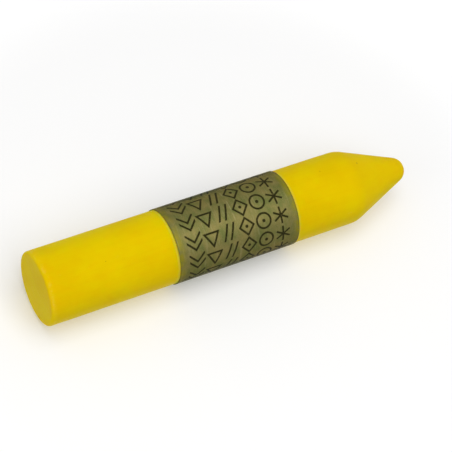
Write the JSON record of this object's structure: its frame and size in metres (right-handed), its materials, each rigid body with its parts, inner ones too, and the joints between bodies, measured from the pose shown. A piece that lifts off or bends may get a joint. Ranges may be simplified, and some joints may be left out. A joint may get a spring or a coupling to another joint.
{
  "type": "wax crayon",
  "caption": "Short thick round wax crayon with a flat butt and a tapered point with a rounded tip, and a lapped foil-paper label wrapped round its middle.",
  "frame": {"origin": "centre of the flat butt face, which the crayon stands on", "axes": "+Z along the stick's axis, from the butt to the tip"},
  "size_m": [0.0112, 0.0112, 0.06],
  "materials": {
    "yellow_wax": "moulded wax, matt with a soft sheen",
    "foil_paper": "satin olive foil paper with a fine dark print"
  },
  "bodies": {
    "root": {"wax_stick": "yellow_wax", "label_band": "foil_paper"}
  },
  "joints": []
}
